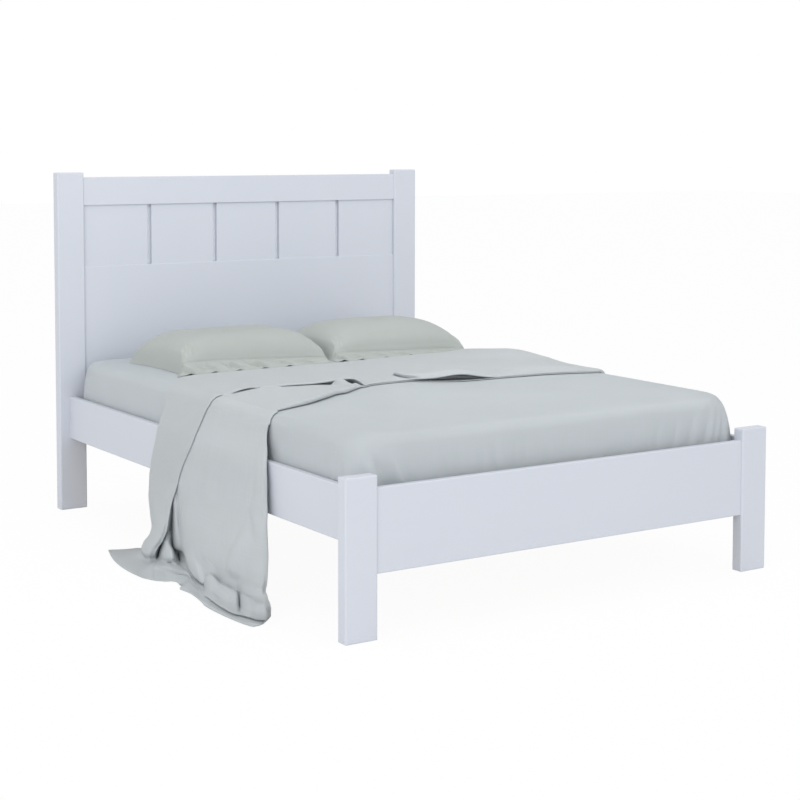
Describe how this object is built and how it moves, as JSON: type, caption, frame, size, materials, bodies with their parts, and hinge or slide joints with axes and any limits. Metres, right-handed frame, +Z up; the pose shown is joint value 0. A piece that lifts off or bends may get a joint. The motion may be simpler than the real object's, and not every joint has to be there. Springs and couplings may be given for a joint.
{
  "type": "double bed",
  "caption": "Double bed with a boarded, painted headboard, low footboard, slatted base, mattress, fitted sheet, pillows and a folded throw hanging over one side.",
  "frame": {"origin": "on the floor at the centre of the bed frame, under the centre leg's glide", "axes": "+X to the right seen from the foot, +Y from the foot towards the headboard, +Z up"},
  "size_m": [1.6424, 1.99, 1.2],
  "materials": {
    "painted_wood": "satin white lacquer, slightly cool",
    "backing_board": "pale faced hardboard, matt",
    "pine": "planed softwood, unfinished",
    "zinc_steel": "bright zinc plated steel",
    "glide_plastic": "moulded, matt",
    "ticking": "woven mattress ticking",
    "sheet_cotton": "plain woven cotton, pale grey green, stretched over the mattress",
    "pillow_fill": "white cotton shell with soft fill",
    "pillow_cotton": "plain woven cotton, pale grey green, gathered flange",
    "throw_cotton": "plain woven cotton, pale grey green, soft folds"
  },
  "bodies": {
    "frame": {"head_post_left": "painted_wood", "head_post_right": "painted_wood", "headboard_top_rail": "painted_wood", "headboard_bottom_rail": "painted_wood", "headboard_lower_panel": "painted_wood", "headboard_board_1": "painted_wood", "headboard_board_2": "painted_wood", "headboard_board_3": "painted_wood", "headboard_board_4": "painted_wood", "headboard_board_5": "painted_wood", "foot_post_left": "painted_wood", "foot_post_right": "painted_wood", "footboard": "painted_wood", "side_rail_left": "painted_wood", "side_rail_right": "painted_wood", "headboard_backing": "backing_board", "cleat_left": "pine", "cleat_right": "pine", "centre_beam": "pine", "centre_leg": "pine", "slat_1": "pine", "slat_2": "pine", "slat_3": "pine", "slat_4": "pine", "slat_5": "pine", "slat_6": "pine", "slat_7": "pine", "slat_8": "pine", "slat_9": "pine", "slat_10": "pine", "slat_11": "pine", "slat_12": "pine", "dowels": "pine", "leg_glide": "glide_plastic", "leg_stud": "zinc_steel", "beam_hanger_foot": "zinc_steel", "beam_hanger_head": "zinc_steel", "corner_bracket_foot_left": "zinc_steel", "corner_bracket_foot_right": "zinc_steel", "corner_bracket_head_left": "zinc_steel", "corner_bracket_head_right": "zinc_steel", "post_bolts": "zinc_steel", "post_inserts": "zinc_steel", "rail_screws": "zinc_steel", "cleat_screws": "zinc_steel", "slat_screws": "zinc_steel", "hanger_screws": "zinc_steel", "backing_screws": "zinc_steel"},
    "mattress": {"mattress": "ticking", "fitted_sheet": "sheet_cotton"},
    "pillow_left": {"pillow_left_insert": "pillow_fill", "pillow_left_case": "pillow_cotton"},
    "pillow_right": {"pillow_right_insert": "pillow_fill", "pillow_right_case": "pillow_cotton"},
    "throw": {"throw": "throw_cotton"}
  },
  "joints": [
    {"name": "mattress_lift", "type": "slide", "parent": "frame", "child": "mattress", "axis": [0, 0, 1], "range_m": [0, 0.3]},
    {"name": "pillow_left_lift", "type": "slide", "parent": "mattress", "child": "pillow_left", "axis": [0, 0, 1], "range_m": [0, 0.3]},
    {"name": "pillow_right_lift", "type": "slide", "parent": "mattress", "child": "pillow_right", "axis": [0, 0, 1], "range_m": [0, 0.3]},
    {"name": "throw_lift", "type": "slide", "parent": "mattress", "child": "throw", "axis": [0, 0, 1], "range_m": [0, 0.6]}
  ]
}
